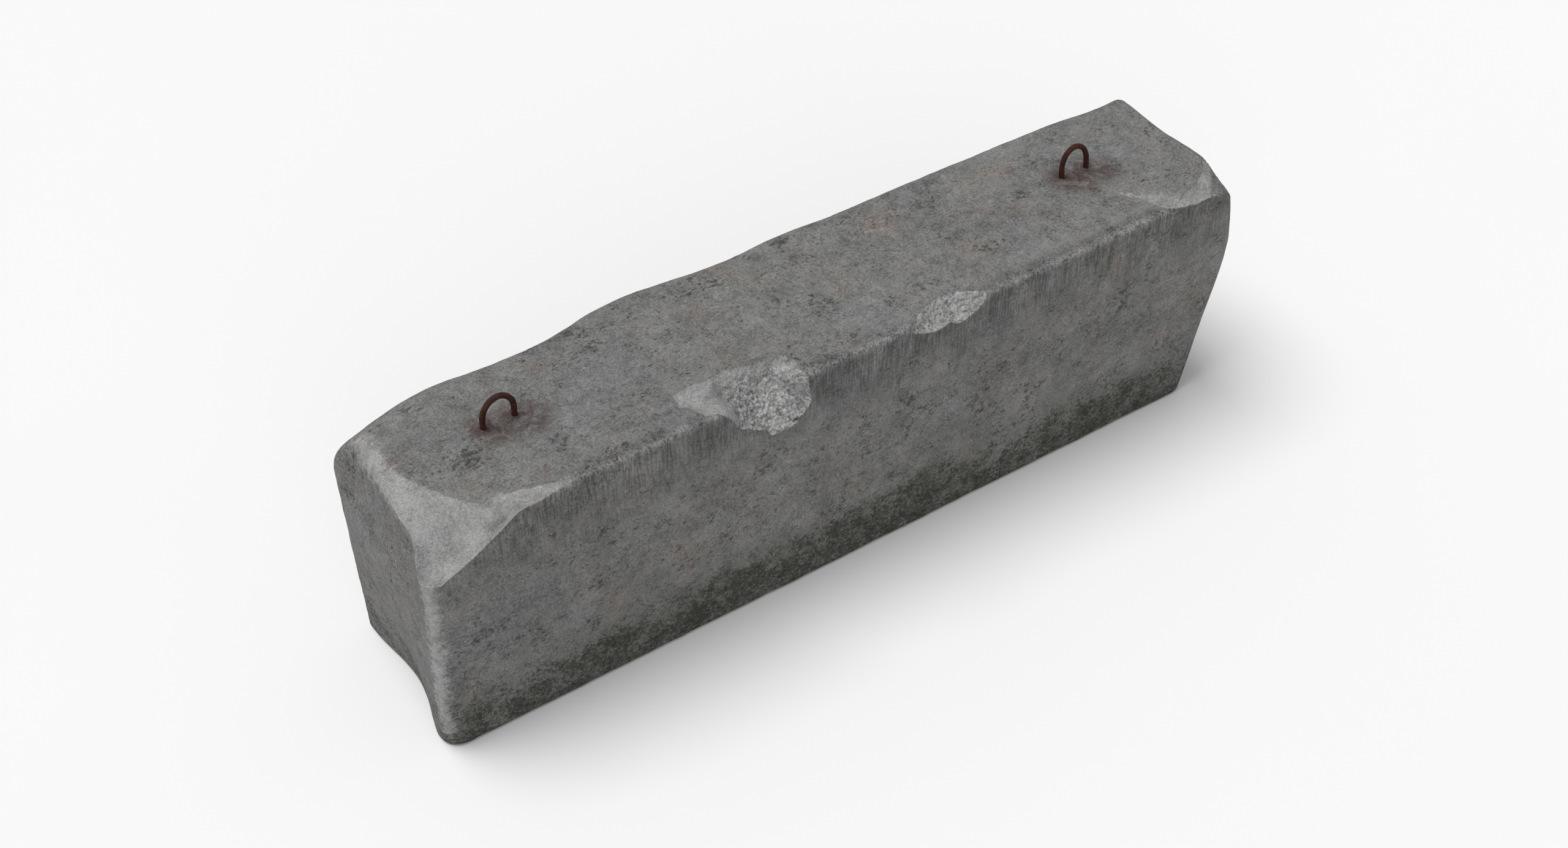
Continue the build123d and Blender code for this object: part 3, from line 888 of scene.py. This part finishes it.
# The suns: which way each one is, its angular size in radians and its strength
SUNS = {
    "soft_key": ((-0.26, 0.19, 0.95), 0.66, 2.42),
    "front_fill": ((-0.45, -0.88, 0.16), 1.2, 0.98),
}


def make_floor():
    bm = bmesh.new()
    bmesh.ops.create_grid(bm, x_segments=1, y_segments=1, size=FLOOR_HALF_SIZE)
    mesh = bpy.data.meshes.new("floor")
    bm.to_mesh(mesh)
    bm.free()
    floor = bpy.data.objects.new("floor", mesh)
    floor.location.z = -FLOOR_DROP
    bpy.context.scene.collection.objects.link(floor)
    s = Shader("pale_floor")
    base = s.mix(s.noise(0.8, 2), (0.800, 0.800, 0.800), (0.810, 0.810, 0.810))
    paint(floor, s.finish(base, 0.9, s.noise(0.01, 2), 0.00001))


def make_sun(name, toward, softness, strength):
    """A broad, even light: toward points at it, and softness is its angular size."""
    light = bpy.data.lights.new(name, "SUN")
    light.angle = softness
    light.energy = strength
    lamp = bpy.data.objects.new(name, light)
    bpy.context.scene.collection.objects.link(lamp)
    lamp.rotation_euler = Vector(toward).to_track_quat("Z", "Y").to_euler()


def make_world(strength):
    world = bpy.data.worlds.new("studio")
    world.use_nodes = True
    background = world.node_tree.nodes["Background"]
    background.inputs["Color"].default_value = (1.0, 1.0, 1.0, 1.0)
    background.inputs["Strength"].default_value = strength
    bpy.context.scene.world = world


CAMERA_AZIMUTH, CAMERA_ELEVATION = math.radians(-32.913), math.radians(45.425)
CAMERA_DISTANCE = 4.1155
CAMERA_AIM = (-0.065, -0.0138, 0.2545)
CAMERA_LENS, CAMERA_SENSOR = 46.6, 36.0     # millimetres


def make_camera():
    data = bpy.data.cameras.new("camera")
    data.lens = CAMERA_LENS
    data.sensor_width = CAMERA_SENSOR
    camera = bpy.data.objects.new("camera", data)
    bpy.context.scene.collection.objects.link(camera)
    level = math.cos(CAMERA_ELEVATION)
    back = Vector((math.sin(CAMERA_AZIMUTH) * level, -math.cos(CAMERA_AZIMUTH) * level,
                   math.sin(CAMERA_ELEVATION)))
    aim = Vector(CAMERA_AIM)
    camera.location = aim + back * CAMERA_DISTANCE
    camera.rotation_euler = (-back).to_track_quat("-Z", "Y").to_euler()
    bpy.context.scene.camera = camera


make_floor()
make_world(SKY_STRENGTH)
for sun_name, (sun_toward, sun_size, sun_strength) in SUNS.items():
    make_sun(sun_name, sun_toward, sun_size, sun_strength)
make_camera()
bpy.context.scene.view_settings.view_transform = "Standard"
